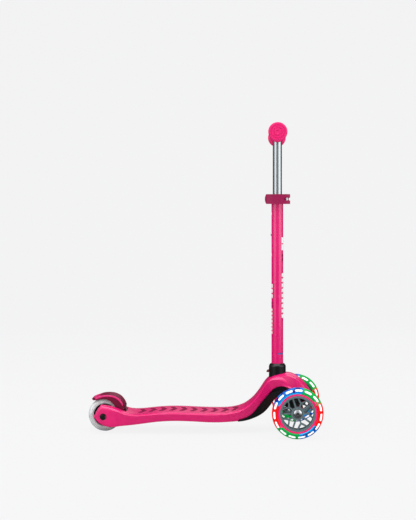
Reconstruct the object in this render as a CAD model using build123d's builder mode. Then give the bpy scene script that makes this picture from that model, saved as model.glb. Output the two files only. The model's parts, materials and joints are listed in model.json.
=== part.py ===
"""Three-wheeled kick scooter for a small child: leaning deck, two lit front wheels, adjustable bar.

Frame: +X forward, +Y to the rider's left, +Z up. The origin is on the ground, midway along the
length and on the centre plane. All sizes are in millimetres.
"""
from build123d import *
from math import cos, hypot, radians, sin
import os

os.makedirs("parts", exist_ok=True)

# Overall layout
wheelbase = 464.0
front_wheel_r = 60.5
rear_wheel_r = 40.0
track_half = 116.0
front_axle_x = (wheelbase + rear_wheel_r - front_wheel_r) / 2
rear_axle_x = front_axle_x - wheelbase
column_x = 175.3
grip_axis_z = 718.0

# General fits
fit = 0.05
gap = 0.3

# Deck shell
deck_wall = 3.5
deck_half_width = 57.0
arm_outer_y = 47.0
arm_inner_y = 26.0
slot_end_x = -190.0
shoulder_r = 3.0
trim_allowance = 5.0
rib_thickness = 2.4
inlay_depth = 1.0

# Steering pivot, which leans forward
pivot_x = 212.0
pivot_z = 75.0
pivot_angle = 50.0
kingpin_r = 5.0
truck_low = -20.0
truck_high = 8.0
truck_half_y = 40.0
truck_half_n = 18.0
bush_gap = 0.3
bush_height = 3.5
boss_r = 10.0
boss_end = 45.0
bumper_y = 26.0
bumper_r = 8.0
bumper_height = 14.0

# Front axle and wheels
axle_r = 4.0
axle_housing_r = 11.0
hub_inset = 10.0
wheel_end_gap = 2.0
hub_inner_y = track_half - hub_inset
axle_housing_half = hub_inner_y - wheel_end_gap
tyre_half_width = 12.0
tyre_seat_r = 46.2
rim_outer_r = 42.0
rim_inner_r = 36.9
rim_half_width = 11.0
seat_half_width = 7.0
light_ring_depth = 2.4
hub_r = 15.5
bearing_r = 11.0
bearing_width = 7.0
race_outer_r = 6.0
race_gap = 0.3
spoke_width = 3.6
bolt_head_r = 9.5

# Rear wheel
rear_tyre_half_width = 18.0
rear_core_r = 27.0
rear_core_half_width = 15.0
axle_head_r = 7.2
axle_head_depth = 6.0

# Brake
brake_outer_y = 24.0
brake_wall = 3.5
brake_pin_x = -199.5
brake_pin_z = 50.5
brake_pin_r = 2.5

# Column
lower_tube_r = 14.3
lower_tube_wall = 1.8
lower_tube_top = 562.0
upper_tube_r = 11.1
upper_tube_wall = 1.8
socket_r = 20.6
socket_flange_z = 112.0
socket_flange_r = 26.0
socket_flange_height = 4.0
socket_floor = 4.0
cap_bottom_z = 150.5
cap_top_z = 163.0
foot_flange = 3.0
height_step = 50.0
snap_z = 476.5
snap_r = 3.9
upper_tube_overlap = 46.0

# Clamp
clamp_bottom = 550.0
clamp_top = 573.7
collar_r = 18.5
ear_x = 22.5
ear_half_width = 9.0
ear_reach = 31.0
lever_gap = 0.5
lever_thickness = 5.5
lever_back_x = 144.8
lever_front_x = 205.5
lever_end_bulge = 3.4
notch_r = 3.7
barrel_r = 3.6
clamp_bolt_r = 2.5
nut_depth = 4.2
nut_r = 4.2
nut_flange_r = 5.2

# Handlebar
grip_end_y = 125.0
grip_inner_y = 27.0
grip_r = 15.5
grip_flange_r = 22.5
grip_flange_width = 6.0


def keep(piece, name):
    """Labels a finished piece and writes it as its own STEP file."""
    piece.part.label = name
    export_step(piece.part, f"parts/{name}.step")


def axle_plane(x, z):
    """Plane through an axle: local x runs along +Y, local y is the radius."""
    return Plane(origin=(x, 0, z), x_dir=(0, 1, 0), z_dir=(1, 0, 0))


def tilted_plane(s, y=0.0):
    """Plane square to the steering axis at distance s along it; local x runs along +Y."""
    lean = radians(pivot_angle)
    origin = (pivot_x + s * cos(lean), y, pivot_z + s * sin(lean))
    return Plane(origin=origin, x_dir=(0, 1, 0), z_dir=(cos(lean), 0, sin(lean)))


def inset(points, depth):
    """Moves each point of an outline to the right of its direction of travel."""
    moved = []
    for index, (x, z) in enumerate(points):
        before = points[max(index - 1, 0)]
        after = points[min(index + 1, len(points) - 1)]
        run, rise = after[0] - before[0], after[1] - before[1]
        length = hypot(run, rise)
        moved.append((x + depth * rise / length, z - depth * run / length))
    return moved


# ------------------------------------------------------------------ deck
top_line = [
    (-249, 67),
    (-211, 58.5),
    (-188, 49),
    (-160, 46.5),
    (-120, 50),
    (-80, 52),
    (-30, 50.5),
    (30, 49),
    (65, 51.5),
    (92, 60),
    (118, 80),
    (138, 107),
    (156, 129),
    (176, 138),
    (198, 141),
    (216, 136.5),
    (233, 125),
    (250, 105),
    (262, 84),
    (274, 62),
]
neck_edge = [
    (257, 64),
    (240, 84),
    (220, 99),
    (200, 108),
    (183, 111.5),
    (165, 104),
    (146, 80.5),
    (131, 61),
    (116, 42.5),
    (98, 33),
    (62, 28),
]
foot_edge = [
    (23, 27),
    (-15, 28.8),
    (-60, 30.6),
    (-110, 28.8),
    (-168, 21),
    (-208, 16.4),
    (-230, 16),
    (-252, 23.5),
]
arm_tip = (-266, 40)
plan_side = [
    (-266, 43),
    (-242, arm_outer_y),
    (-205, 49.5),
    (-160, 54.5),
    (-100, deck_half_width),
    (0, deck_half_width),
    (60, 53.5),
    (100, 47),
    (140, 41.5),
    (168, 40),
    (192, 43),
    (220, 48),
    (240, 46),
    (256, 35),
]
nose_x = 265.0
arm_corner_r = 6.0
plan_top = 200.0
shoulder_edge_z = 38.0
cavity_start = 8
rib_end_x = 74.0
rib_pitch = 36.0
rib_count = 7
rib_first_x = -150.0
long_rib_y = 19.0


def plan_outline(side_points, tip_x):
    """Closed plan shape: one side, the rounded nose and the mirrored side."""
    mirrored = [(x, -y) for x, y in reversed(side_points)]
    with BuildLine() as outline:
        Spline(*side_points, (tip_x, 0), *mirrored)
        Line(side_points[0], mirrored[-1])
    make_face(outline.edges())


with BuildPart() as deck_outer:
    with BuildSketch(Plane.XZ) as side_view:
        with BuildLine():
            Spline(*top_line)
            Line(top_line[-1], neck_edge[0])
            Spline(*neck_edge, *foot_edge)
            Line(foot_edge[-1], arm_tip)
            Line(arm_tip, top_line[0])
        make_face()
        corners = side_view.vertices().sort_by(Axis.X)[0:3]
        fillet(corners, arm_corner_r)
    extrude(amount=deck_half_width + trim_allowance, both=True)
    with BuildSketch(Plane.XY):
        plan_outline(plan_side, nose_x)
    extrude(amount=plan_top, mode=Mode.INTERSECT)

with BuildPart() as cavity:
    inner_top = inset(top_line, deck_wall)
    inner_top = [p for p in inner_top if p[0] > slot_end_x + cavity_start]
    with BuildSketch(Plane.XZ):
        with BuildLine():
            Spline(*inner_top)
            Polyline(inner_top[-1], (inner_top[-1][0], 0), (inner_top[0][0], 0), inner_top[0])
        make_face()
    extrude(amount=deck_half_width, both=True)
    with BuildSketch(Plane.XY):
        plan_outline([(x, y - deck_wall) for x, y in plan_side], nose_x - deck_wall)
    extrude(amount=plan_top, mode=Mode.INTERSECT)
    with BuildSketch(Plane.XY):
        for number in range(rib_count):
            with Locations((rib_first_x + number * rib_pitch, 0)):
                Rectangle(rib_thickness, 2 * deck_half_width)
        for y in (-long_rib_y, long_rib_y):
            with Locations(((slot_end_x + rib_end_x) / 2, y)):
                Rectangle(rib_end_x - slot_end_x, rib_thickness)
        with Locations((column_x, 0)):
            Circle(socket_flange_r)
    extrude(amount=plan_top, mode=Mode.SUBTRACT)

# Raspberry chevrons let into the standing surface
chevron_count = 10
chevron_pitch = 25.0
chevron_first_x = -162.0
chevron_half = 27.0
chevron_width = 10.0
chevron_sweep = 9.0

with BuildPart() as grip_inlays:
    with BuildSketch(Plane.XY):
        for number in range(chevron_count):
            with Locations((chevron_first_x + number * chevron_pitch, 0)):
                Polygon(
                    (0, -chevron_half),
                    (chevron_width, -chevron_half),
                    (chevron_width + chevron_sweep, 0),
                    (chevron_width, chevron_half),
                    (0, chevron_half),
                    (chevron_sweep, 0),
                    align=None,
                )
    extrude(amount=plan_top)
    add(deck_outer.part, mode=Mode.INTERSECT)
    with Locations((0, 0, -inlay_depth)):
        add(deck_outer.part, mode=Mode.SUBTRACT)
keep(grip_inlays, "grip_inlays")

with BuildPart() as deck:
    add(deck_outer.part)
    long_edges = deck.edges().filter_by(GeomType.BSPLINE).filter_by(lambda e: e.length > wheelbase)
    fillet(long_edges.filter_by(lambda e: e.center().Z > shoulder_edge_z), shoulder_r)
    add(cavity.part, mode=Mode.SUBTRACT)
    # room below the column socket for its flange and screws
    with BuildSketch(Plane.XY):
        with Locations((column_x, 0)):
            Circle(socket_flange_r + gap)
    extrude(amount=socket_flange_z, mode=Mode.SUBTRACT)
    # bosses that hold the kingpin and the two steering bumpers
    with BuildSketch(tilted_plane(truck_high + bush_gap + bush_height)):
        Circle(boss_r)
    extrude(amount=boss_end - truck_high - bush_gap - bush_height)
    for y in (-bumper_y, bumper_y):
        with BuildSketch(tilted_plane(truck_high + bumper_height, y)):
            Circle(bumper_r)
        extrude(amount=boss_end - truck_high - bumper_height)
    with BuildSketch(tilted_plane(0)):
        Circle(kingpin_r + fit)
    extrude(amount=boss_end - 5, mode=Mode.SUBTRACT)
    # bore for the column socket
    with BuildSketch(Plane.XY):
        with Locations((column_x, 0)):
            Circle(socket_r + fit)
    extrude(amount=plan_top, mode=Mode.SUBTRACT)
    # slot for the rear wheel and the brake
    with BuildSketch(Plane.XY):
        with Locations((slot_end_x - 60, 0)):
            RectangleRounded(120, 2 * arm_inner_y, 6)
        with Locations((slot_end_x - 90, 0)):
            Rectangle(60, 2 * arm_inner_y)
    extrude(amount=plan_top, mode=Mode.SUBTRACT)
    # axle hole with a sunk head at each side
    with BuildSketch(Plane.XZ):
        with Locations((rear_axle_x, rear_wheel_r)):
            Circle(axle_r + fit)
    extrude(amount=deck_half_width, both=True, mode=Mode.SUBTRACT)
    for side in (-1, 1):
        with BuildSketch(Plane.XZ.offset(-side * (arm_outer_y - axle_head_depth))):
            with Locations((rear_axle_x, rear_wheel_r)):
                Circle(axle_head_r + gap)
        extrude(amount=-side * 2 * axle_head_depth, mode=Mode.SUBTRACT)
    # brake pin hole
    with BuildSketch(Plane.XZ):
        with Locations((brake_pin_x, brake_pin_z)):
            Circle(brake_pin_r + fit)
    extrude(amount=arm_inner_y + 8, both=True, mode=Mode.SUBTRACT)
    add(grip_inlays.part, mode=Mode.SUBTRACT)
keep(deck, "deck")

# Cover that closes the neck from below
cover_wall = 2.5
cover_hollow_half_y = 33.0
cover_low = [(80, 28.6), (100, 30.8), (117, 35.8), (137, 45.4), (150.4, 57), (159, 67.7), (168, 80)]
cover_high = [(192, 101.5), (178, 101.5), (162, 97), (150, 88), (140, 77), (128, 62)]
cover_high += [(114, 46), (98, 37), (84, 33.5)]

with BuildPart() as neck_undercover:
    for depth, half, mode in (
        (0.0, deck_half_width, Mode.ADD),
        (cover_wall, cover_hollow_half_y, Mode.SUBTRACT),
    ):
        low = [(x - depth * 0.6, z + depth * 0.8) for x, z in cover_low]
        high = [(x - 3 * depth, z + 3 * depth) for x, z in cover_high]
        with BuildSketch(Plane.XZ):
            with BuildLine():
                Spline(*low)
                Line(low[-1], high[0])
                Spline(*high)
                Line(high[-1], low[0])
            make_face()
        extrude(amount=half, both=True, mode=mode)
    with BuildSketch(Plane.XY):
        cover_inset = deck_wall + gap
        plan_outline([(x, y - cover_inset) for x, y in plan_side], nose_x - cover_inset)
    extrude(amount=plan_top, mode=Mode.INTERSECT)
keep(neck_undercover, "neck_undercover")
# ------------------------------------------------------------------ column socket
socket_bottom = socket_flange_z - socket_flange_height
button_z = 144.4
button_half_y = 5.0
button_half_z = 2.75
button_reach = 26.4
tube_bore_r = lower_tube_r + fit

with BuildPart() as column_socket:
    with BuildSketch(axle_plane(column_x, 0)):
        with BuildLine():
            Polyline(
                (0, socket_bottom - socket_floor),
                (socket_r, socket_bottom - socket_floor),
                (socket_r, socket_bottom),
                (socket_flange_r, socket_bottom),
                (socket_flange_r, socket_flange_z),
                (socket_r, socket_flange_z),
                (socket_r, cap_bottom_z),
                (tube_bore_r, cap_bottom_z),
                (tube_bore_r, socket_bottom),
                (0, socket_bottom),
                close=True,
            )
        make_face()
    revolve(axis=Axis((column_x, 0, 0), (0, 0, 1)))
    screw_ring_r = (socket_r + socket_flange_r) / 2
    with BuildSketch(Plane.XY.offset(socket_bottom)):
        with Locations((column_x, 0)):
            with PolarLocations(screw_ring_r, 4, start_angle=45):
                Circle(1.2 + fit)
    extrude(amount=socket_flange_height, mode=Mode.SUBTRACT)
    # window for the release button
    with BuildSketch(Plane.YZ.offset(column_x)):
        with Locations((0, button_z)):
            Rectangle(2 * button_half_y + 2 * gap, 2 * button_half_z + 2 * gap)
    extrude(amount=-socket_flange_r, mode=Mode.SUBTRACT)
keep(column_socket, "column_socket")

with BuildPart() as socket_cap:
    with BuildSketch(axle_plane(column_x, 0)):
        with BuildLine():
            Polyline(
                (tube_bore_r, cap_bottom_z),
                (socket_r, cap_bottom_z),
                (socket_r, cap_top_z - 7),
                (socket_r - 1, cap_top_z - 4),
                (lower_tube_r + 2.6, cap_top_z - 0.6),
                (lower_tube_r + 1.4, cap_top_z),
                (tube_bore_r, cap_top_z),
                close=True,
            )
        make_face()
    revolve(axis=Axis((column_x, 0, 0), (0, 0, 1)))
keep(socket_cap, "socket_cap")

with BuildPart() as socket_screws:
    with BuildSketch(Plane.XY.offset(socket_bottom)):
        with Locations((column_x, 0)):
            with PolarLocations(screw_ring_r, 4, start_angle=45):
                Circle(1.2)
    extrude(amount=socket_flange_height)
    with BuildSketch(Plane.XY.offset(socket_bottom)):
        with Locations((column_x, 0)):
            with PolarLocations(screw_ring_r, 4, start_angle=45):
                Circle(2.2)
    extrude(amount=-1.6)
keep(socket_screws, "socket_screws")

# Red latch button in the back of the socket
with BuildPart() as release_button:
    with BuildSketch(Plane.YZ.offset(column_x - button_reach)):
        with Locations((0, button_z)):
            Rectangle(2 * button_half_y, 2 * button_half_z)
    extrude(amount=button_reach - lower_tube_r - gap)
    back_edge = release_button.faces().sort_by(Axis.X)[0].edges().sort_by(Axis.Z)[-1]
    chamfer(back_edge, 3.5)
keep(release_button, "release_button")
# ------------------------------------------------------------------ column
tube_foot_bottom = socket_bottom
lower_tube_bottom = tube_foot_bottom + foot_flange
lower_bore_r = lower_tube_r - lower_tube_wall
foot_plug_height = 15.0
bush_top_lip = 2.0
bush_length = 26.0
hole_heights = [snap_z + step * height_step for step in (-1, 0, 1)]

with BuildPart() as lower_tube:
    with BuildSketch(Plane.XY.offset(lower_tube_bottom)):
        with Locations((column_x, 0)):
            Circle(lower_tube_r)
            Circle(lower_bore_r, mode=Mode.SUBTRACT)
    extrude(amount=lower_tube_top - lower_tube_bottom)
    with BuildSketch(Plane.YZ.offset(column_x)):
        for z in hole_heights:
            with Locations((0, z)):
                Circle(snap_r + gap)
    extrude(amount=-2 * lower_tube_r, mode=Mode.SUBTRACT)
    # slit that lets the clamp close the top of the tube
    with BuildSketch(Plane.YZ.offset(column_x)):
        with Locations((0, lower_tube_top - 15)):
            Rectangle(2.0, 30)
    extrude(amount=2 * lower_tube_r, mode=Mode.SUBTRACT)
keep(lower_tube, "lower_tube")

with BuildPart() as tube_foot:
    with BuildSketch(Plane.XY.offset(tube_foot_bottom)):
        with Locations((column_x, 0)):
            Circle(lower_tube_r)
            Circle(6.0, mode=Mode.SUBTRACT)
    extrude(amount=foot_flange)
    with BuildSketch(Plane.XY.offset(lower_tube_bottom)):
        with Locations((column_x, 0)):
            Circle(lower_bore_r - fit)
            Circle(6.0, mode=Mode.SUBTRACT)
    extrude(amount=foot_plug_height)
keep(tube_foot, "tube_foot")

with BuildPart() as tube_bush:
    with BuildSketch(axle_plane(column_x, 0)):
        with BuildLine():
            Polyline(
                (upper_tube_r + 0.1, lower_tube_top - bush_length),
                (lower_bore_r - fit, lower_tube_top - bush_length),
                (lower_bore_r - fit, lower_tube_top),
                (lower_tube_r, lower_tube_top),
                (lower_tube_r, lower_tube_top + bush_top_lip),
                (upper_tube_r + 0.1, lower_tube_top + bush_top_lip),
                close=True,
            )
        make_face()
    revolve(axis=Axis((column_x, 0, 0), (0, 0, 1)))
keep(tube_bush, "tube_bush")

# ------------------------------------------------------------------ clamp
ear_cx = column_x + ear_x
clamp_mid = (clamp_bottom + clamp_top) / 2
barrel_y = -(collar_r + lever_gap + lever_thickness / 2)

with BuildPart() as clamp_collar:
    with BuildSketch(Plane.XY.offset(clamp_bottom)):
        with Locations((column_x, 0)):
            Circle(collar_r)
        with Locations((column_x + ear_reach / 2, 0)):
            RectangleRounded(ear_reach, 2 * ear_half_width, 3)
    extrude(amount=clamp_top - clamp_bottom)
    with BuildSketch(Plane.XY.offset(clamp_bottom)):
        with Locations((column_x, 0)):
            Circle(lower_tube_r + fit)
        with Locations((column_x + ear_reach, 0)):
            Rectangle(2 * ear_reach, 2.4)
    extrude(amount=lower_tube_top + bush_top_lip + fit - clamp_bottom, mode=Mode.SUBTRACT)
    with BuildSketch(Plane.XY.offset(clamp_bottom)):
        with Locations((column_x, 0)):
            Circle(upper_tube_r + gap)
        with Locations((column_x + ear_reach, 0)):
            Rectangle(2 * ear_reach, 2.4)
    extrude(amount=clamp_top - clamp_bottom, mode=Mode.SUBTRACT)
    with BuildSketch(Plane.XZ):
        with Locations((ear_cx, clamp_mid)):
            Circle(clamp_bolt_r + fit)
    extrude(amount=ear_half_width + 2, both=True, mode=Mode.SUBTRACT)
    with BuildSketch(Plane.XZ):
        with Locations((column_x + ear_reach, clamp_mid)):
            Circle(notch_r)
    extrude(amount=ear_half_width + 2, both=True, mode=Mode.SUBTRACT)
    fillet(clamp_collar.faces().sort_by(Axis.Z)[-1].outer_wire().edges(), 1.0)
keep(clamp_collar, "clamp_collar")

with BuildPart() as clamp_barrel:
    with BuildSketch(Plane.XY.offset(clamp_bottom + 1)):
        with Locations((ear_cx, barrel_y)):
            Circle(barrel_r)
    extrude(amount=clamp_top - clamp_bottom - 2)
    with BuildSketch(Plane.XZ.offset(-barrel_y)):
        with Locations((ear_cx, clamp_mid)):
            Circle(clamp_bolt_r + fit)
    extrude(amount=-2 * barrel_r, mode=Mode.SUBTRACT)
keep(clamp_barrel, "clamp_barrel")

with BuildPart() as clamp_bolt:
    with BuildSketch(Plane.XZ.offset(-barrel_y)):
        with Locations((ear_cx, clamp_mid)):
            Circle(clamp_bolt_r)
    extrude(amount=-(ear_half_width + nut_depth - gap - barrel_y))
keep(clamp_bolt, "clamp_bolt")

with BuildPart() as clamp_nut:
    nut_bore = clamp_bolt_r + fit
    nut_seat = ear_half_width
    with BuildSketch(axle_plane(ear_cx, clamp_mid)):
        with BuildLine():
            Polyline(
                (nut_seat + nut_depth, 0),
                (nut_seat + nut_depth, nut_bore),
                (nut_seat, nut_bore),
                (nut_seat, nut_flange_r),
                (nut_seat + 1, nut_flange_r),
                (nut_seat + 1, nut_r),
                (nut_seat + nut_depth, nut_r),
                (nut_seat + nut_depth + 1.8, nut_r * 0.8),
                (nut_seat + nut_depth + 2.8, nut_r * 0.4),
                (nut_seat + nut_depth + 3.0, 0),
                close=True,
            )
        make_face()
    revolve(axis=Axis((ear_cx, 0, clamp_mid), (0, 1, 0)))
keep(clamp_nut, "clamp_nut")

# Lever: pivot eye at the front, long wing along the right side, hooked tail
window_length = 10.4
window_height = 6.4

with BuildPart() as clamp_lever:
    outer_y = barrel_y - lever_thickness / 2
    with BuildSketch(Plane.XY.offset(clamp_bottom)):
        with BuildLine():
            Line((lever_front_x, barrel_y + 4), (lever_front_x, barrel_y - 2))
            Spline(
                (lever_front_x, barrel_y - 2),
                (ear_cx, barrel_y - 5),
                (column_x, outer_y - 1.5),
                (lever_back_x + 8, outer_y + 4),
                (lever_back_x, barrel_y + 9),
            )
            Line((lever_back_x, barrel_y + 9), (lever_back_x + 4, barrel_y + 10))
            Spline(
                (lever_back_x + 4, barrel_y + 10),
                (lever_back_x + 12, barrel_y + 4.5),
                (column_x, outer_y + 4.0),
                (ear_cx - 10, barrel_y + 2),
                (ear_cx - 5, barrel_y + 4),
            )
            Line((ear_cx - 5, barrel_y + 4), (lever_front_x, barrel_y + 4))
        make_face()
    extrude(amount=clamp_top - clamp_bottom)
    fillet(clamp_lever.edges().filter_by(Axis.Z).sort_by(Axis.X)[-2:], 2.5)
    with BuildSketch(Plane.XY.offset(clamp_bottom)):
        with Locations((ear_cx, barrel_y)):
            Circle(barrel_r + fit)
    extrude(amount=clamp_top - clamp_bottom, mode=Mode.SUBTRACT)
    # window, open through the front as a fork, that clears the cross bolt at every angle
    with BuildSketch(Plane.XZ):
        with Locations((ear_cx - 1, clamp_mid)):
            SlotOverall(window_length, window_height)
        with Locations((lever_front_x, clamp_mid)):
            Circle(notch_r)
        with Locations(((ear_cx + lever_front_x) / 2, clamp_mid)):
            Rectangle(lever_front_x - ear_cx, 2 * (clamp_bolt_r + lever_gap))
    extrude(amount=60, mode=Mode.SUBTRACT)
    with BuildSketch(Plane.XZ):
        with Locations((ear_cx, clamp_mid)):
            SlotOverall(2 * (lever_front_x - ear_cx) + 8, 2 * clamp_bolt_r + 2)
    extrude(amount=-barrel_y + 1, mode=Mode.SUBTRACT)
    # bulging free end, seen from the side
    with BuildSketch(Plane.XZ):
        with BuildLine():
            corner_x = lever_back_x + lever_end_bulge
            ThreePointArc((corner_x, clamp_bottom), (lever_back_x, clamp_mid), (corner_x, clamp_top))
            Polyline(
                (corner_x, clamp_top),
                (lever_front_x + 1, clamp_top),
                (lever_front_x + 1, clamp_bottom),
                (corner_x, clamp_bottom),
            )
        make_face()
    extrude(amount=60, mode=Mode.INTERSECT)
keep(clamp_lever, "clamp_lever")
# ------------------------------------------------------------------ height-adjusting bar
upper_tube_bottom = snap_z - upper_tube_overlap
plug_height = 14.0
upper_bore_r = upper_tube_r - upper_tube_wall
crossbar_end = grip_end_y - 4

with BuildPart() as upper_tube:
    with BuildSketch(Plane.XY.offset(upper_tube_bottom)):
        with Locations((column_x, 0)):
            Circle(upper_tube_r)
            Circle(upper_bore_r, mode=Mode.SUBTRACT)
    extrude(amount=grip_axis_z - upper_tube_bottom)
    with BuildSketch(Plane.XZ):
        with Locations((column_x, grip_axis_z)):
            Circle(upper_tube_r + 0.02)
    extrude(amount=2 * upper_tube_r, both=True, mode=Mode.SUBTRACT)
    with BuildSketch(Plane.YZ.offset(column_x)):
        with Locations((0, snap_z)):
            Circle(snap_r + fit)
    extrude(amount=-2 * upper_tube_r, mode=Mode.SUBTRACT)
keep(upper_tube, "upper_tube")

with BuildPart() as tube_plug:
    with BuildSketch(Plane.XY.offset(upper_tube_bottom)):
        with Locations((column_x, 0)):
            Circle(upper_bore_r - fit)
    extrude(amount=plug_height)
    with BuildSketch(Plane.XY.offset(upper_tube_bottom)):
        with Locations((column_x, 0)):
            Circle(lower_bore_r - 0.1)
    extrude(amount=-4)
keep(tube_plug, "tube_plug")

snap_head_x = column_x - lower_tube_r - 1.8
with BuildPart() as snap_button:
    with BuildSketch(Plane.YZ.offset(snap_head_x)):
        with Locations((0, snap_z)):
            Circle(snap_r)
    extrude(amount=column_x - 7.0 - snap_head_x)
    fillet(snap_button.faces().sort_by(Axis.X)[0].edges(), 1.2)
keep(snap_button, "snap_button")

with BuildPart() as snap_spring:
    with BuildSketch(Plane.XZ):
        with BuildLine():
            Polyline(
                (column_x - 6.6, snap_z + 6),
                (column_x - 6.6, snap_z - 12),
                (column_x, snap_z - 22),
                (column_x + 8.4, snap_z - 12),
                (column_x + 8.4, snap_z + 6),
            )
        trace(line_width=0.6)
    extrude(amount=3, both=True)
keep(snap_spring, "snap_spring")

with BuildPart() as crossbar:
    with BuildSketch(Plane.XZ):
        with Locations((column_x, grip_axis_z)):
            Circle(upper_tube_r)
            Circle(upper_bore_r, mode=Mode.SUBTRACT)
    extrude(amount=crossbar_end, both=True)
keep(crossbar, "crossbar")

for name, side in (("right_grip", -1), ("left_grip", 1)):
    with BuildPart() as grip:
        bore = upper_tube_r + fit
        inner = side * grip_inner_y
        end = side * grip_end_y
        with BuildSketch(axle_plane(column_x, grip_axis_z)):
            with BuildLine():
                Polyline(
                    (inner, bore),
                    (inner, grip_flange_r - 3),
                    (inner + side * 4, grip_flange_r - 3),
                    (inner + side * 6, grip_r),
                    (end - side * (grip_flange_width + 4), grip_r),
                    (end - side * grip_flange_width, grip_flange_r),
                    (end - side * 2, grip_flange_r),
                    (end, grip_flange_r - 2),
                    (end, 0),
                    (side * (crossbar_end + gap), 0),
                    (side * (crossbar_end + gap), bore),
                    close=True,
                )
            make_face()
        revolve(axis=Axis((column_x, 0, grip_axis_z), (0, 1, 0)))
    keep(grip, name)
# ------------------------------------------------------------------ steering
with BuildPart() as kingpin:
    with BuildSketch(tilted_plane(truck_low - 13)):
        Circle(kingpin_r)
    extrude(amount=boss_end - 6 - truck_low + 13)
keep(kingpin, "kingpin")

with BuildPart() as kingpin_washers:
    for start in (truck_high + bush_gap, truck_low - bush_gap - bush_height):
        with BuildSketch(tilted_plane(start)):
            Circle(boss_r)
            Circle(kingpin_r + fit, mode=Mode.SUBTRACT)
        extrude(amount=bush_height)
keep(kingpin_washers, "kingpin_washers")

with BuildPart() as kingpin_nut:
    with BuildSketch(tilted_plane(truck_low - bush_gap - bush_height)):
        RegularPolygon(8.5, 6)
        Circle(kingpin_r + fit, mode=Mode.SUBTRACT)
    extrude(amount=-7)
keep(kingpin_nut, "kingpin_nut")

with BuildPart() as steering_bumpers:
    for y in (-bumper_y, bumper_y):
        with BuildSketch(tilted_plane(truck_high, y)):
            Circle(bumper_r)
        extrude(amount=bumper_height)
keep(steering_bumpers, "steering_bumpers")

with BuildPart() as truck:
    with BuildSketch(tilted_plane(truck_low)):
        RectangleRounded(2 * truck_half_y, 2 * truck_half_n, 9)
    extrude(amount=truck_high - truck_low)
    fillet(truck.edges(), 2.5)
    with BuildSketch(axle_plane(front_axle_x, front_wheel_r)):
        with BuildLine():
            Polyline(
                (-axle_housing_half, 0),
                (-axle_housing_half, axle_housing_r),
                (-axle_housing_half + 14, axle_housing_r),
                (-truck_half_y, axle_housing_r + 4),
                (truck_half_y, axle_housing_r + 4),
                (axle_housing_half - 14, axle_housing_r),
                (axle_housing_half, axle_housing_r),
                (axle_housing_half, 0),
                close=True,
            )
        make_face()
    revolve(axis=Axis((front_axle_x, 0, front_wheel_r), (0, 1, 0)))
    with BuildSketch(tilted_plane(truck_low - 20)):
        Circle(kingpin_r + fit)
    extrude(amount=60, mode=Mode.SUBTRACT)
    with BuildSketch(tilted_plane(truck_low)):
        Circle(boss_r + 1.5)
    extrude(amount=-20, mode=Mode.SUBTRACT)
    with BuildSketch(tilted_plane(truck_high)):
        Rectangle(4 * truck_half_y, 4 * truck_half_n)
    extrude(amount=30, mode=Mode.SUBTRACT)
    insert_r = 7.0
    insert_length = 40.0
    for side in (-1, 1):
        with BuildSketch(Plane.XZ.offset(-side * (axle_housing_half - insert_length))):
            with Locations((front_axle_x, front_wheel_r)):
                Circle(insert_r)
        extrude(amount=-side * (insert_length + 1), mode=Mode.SUBTRACT)
keep(truck, "truck")

with BuildPart() as axle_inserts:
    for side in (-1, 1):
        with BuildSketch(Plane.XZ.offset(-side * (axle_housing_half - insert_length))):
            with Locations((front_axle_x, front_wheel_r)):
                Circle(insert_r - fit)
                Circle(axle_r + fit, mode=Mode.SUBTRACT)
        extrude(amount=-side * insert_length)
keep(axle_inserts, "axle_inserts")

hub_outer_y = track_half + 8.0
outer_bearing_y = hub_outer_y - bearing_width
inner_bearing_end = hub_inner_y + bearing_width
head_start = hub_outer_y + gap
head_end = track_half + tyre_half_width

with BuildPart() as front_axle_bolts:
    for side in (-1, 1):
        with BuildSketch(axle_plane(front_axle_x, front_wheel_r)):
            with BuildLine():
                Polyline(
                    (side * (axle_housing_half - insert_length + 4), 0),
                    (side * (axle_housing_half - insert_length + 4), axle_r),
                    (side * hub_outer_y, axle_r),
                    (side * hub_outer_y, race_outer_r),
                    (side * head_start, race_outer_r),
                    (side * head_start, bolt_head_r),
                    (side * (head_start + 1.2), bolt_head_r),
                )
                ThreePointArc(
                    (side * (head_start + 1.2), bolt_head_r),
                    (side * (head_end - 0.8), bolt_head_r * 0.62),
                    (side * head_end, 0),
                )
                Line((side * head_end, 0), (side * (axle_housing_half - insert_length + 4), 0))
            make_face()
        revolve(axis=Axis((front_axle_x, 0, front_wheel_r), (0, 1, 0)))
        with BuildSketch(Plane.XZ.offset(-side * (head_end - 2.2))):
            with Locations((front_axle_x, front_wheel_r)):
                RegularPolygon(3.4, 6)
        extrude(amount=-side * 4, mode=Mode.SUBTRACT)
keep(front_axle_bolts, "front_axle_bolts")

with BuildPart() as front_spacers:
    for side in (-1, 1):
        with BuildSketch(Plane.XZ.offset(-side * axle_housing_half)):
            with Locations((front_axle_x, front_wheel_r)):
                Circle(race_outer_r)
                Circle(axle_r + fit, mode=Mode.SUBTRACT)
        extrude(amount=-side * (hub_outer_y - axle_housing_half))
keep(front_spacers, "front_spacers")

magnet_r = 7.9
with BuildPart() as wheel_magnets:
    for side in (-1, 1):
        with BuildSketch(Plane.XZ.offset(-side * (inner_bearing_end + gap))):
            with Locations((front_axle_x, front_wheel_r)):
                Circle(magnet_r)
                Circle(race_outer_r + fit, mode=Mode.SUBTRACT)
        extrude(amount=-side * (outer_bearing_y - inner_bearing_end - 2 * gap))
keep(wheel_magnets, "wheel_magnets")
# ------------------------------------------------------------------ front wheels
coil_bore_r = magnet_r + 0.6
fork_start_r = 25.0
spoke_outer_r = rim_inner_r + 1.0
fork_spread = 17.0
face_in = -2.0
face_out = 6.5
ring_gap = fit


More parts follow.
